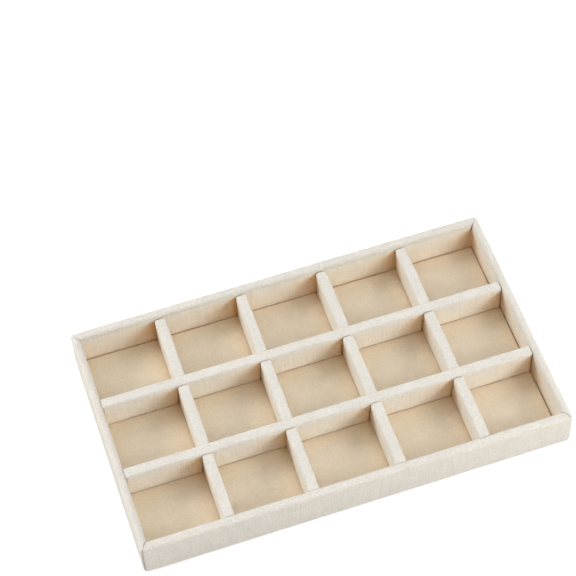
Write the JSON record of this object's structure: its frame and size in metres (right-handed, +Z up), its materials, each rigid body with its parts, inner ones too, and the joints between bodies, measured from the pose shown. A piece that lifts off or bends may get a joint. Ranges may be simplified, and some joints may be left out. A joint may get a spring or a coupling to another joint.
{
  "type": "jewelry tray",
  "caption": "Shallow rectangular velour-covered jewelry tray with a grid of open compartments made by loose half-lapped dividers that lift out.",
  "frame": {"origin": "middle of the underside, on the surface that the tray stands on", "axes": "+X along the tray's length, +Y from the front wall to the back wall, +Z up out of the compartments"},
  "size_m": [0.297, 0.174, 0.03],
  "materials": {
    "cream_velour": "cream short-pile velour, matte with a faint sheen",
    "floor_velour": "cream short-pile velour laid flat on the floor",
    "fibreboard": "raw thin fibreboard",
    "grey_card": "grey card",
    "backing_paper": "plain cream lining paper",
    "pin_steel": "plain steel wire"
  },
  "bodies": {
    "tray": {"base_board": "fibreboard", "front_wall_board": "fibreboard", "back_wall_board": "fibreboard", "left_wall_board": "fibreboard", "right_wall_board": "fibreboard", "corner_pins": "pin_steel", "front_wall_cover": "cream_velour", "back_wall_cover": "cream_velour", "left_wall_cover": "cream_velour", "right_wall_cover": "cream_velour", "filler_card": "grey_card", "underside_sheet": "backing_paper", "floor_card": "grey_card", "floor_cover": "floor_velour"},
    "cross_dividers": {"cross_divider_1_board": "fibreboard", "cross_divider_1_cover": "cream_velour", "cross_divider_2_board": "fibreboard", "cross_divider_2_cover": "cream_velour", "cross_divider_3_board": "fibreboard", "cross_divider_3_cover": "cream_velour", "cross_divider_4_board": "fibreboard", "cross_divider_4_cover": "cream_velour"},
    "long_divider_front": {"long_divider_front_board": "fibreboard", "long_divider_front_cover": "cream_velour"},
    "long_divider_back": {"long_divider_back_board": "fibreboard", "long_divider_back_cover": "cream_velour"}
  },
  "joints": [
    {"name": "grid_lift", "type": "slide", "parent": "tray", "child": "cross_dividers", "axis": [0, 0, 1], "range_m": [0, 0.04]},
    {"name": "front_slat_lift", "type": "slide", "parent": "cross_dividers", "child": "long_divider_front", "axis": [0, 0, 1], "range_m": [0, 0.03]},
    {"name": "back_slat_lift", "type": "slide", "parent": "cross_dividers", "child": "long_divider_back", "axis": [0, 0, 1], "range_m": [0, 0.03]}
  ]
}
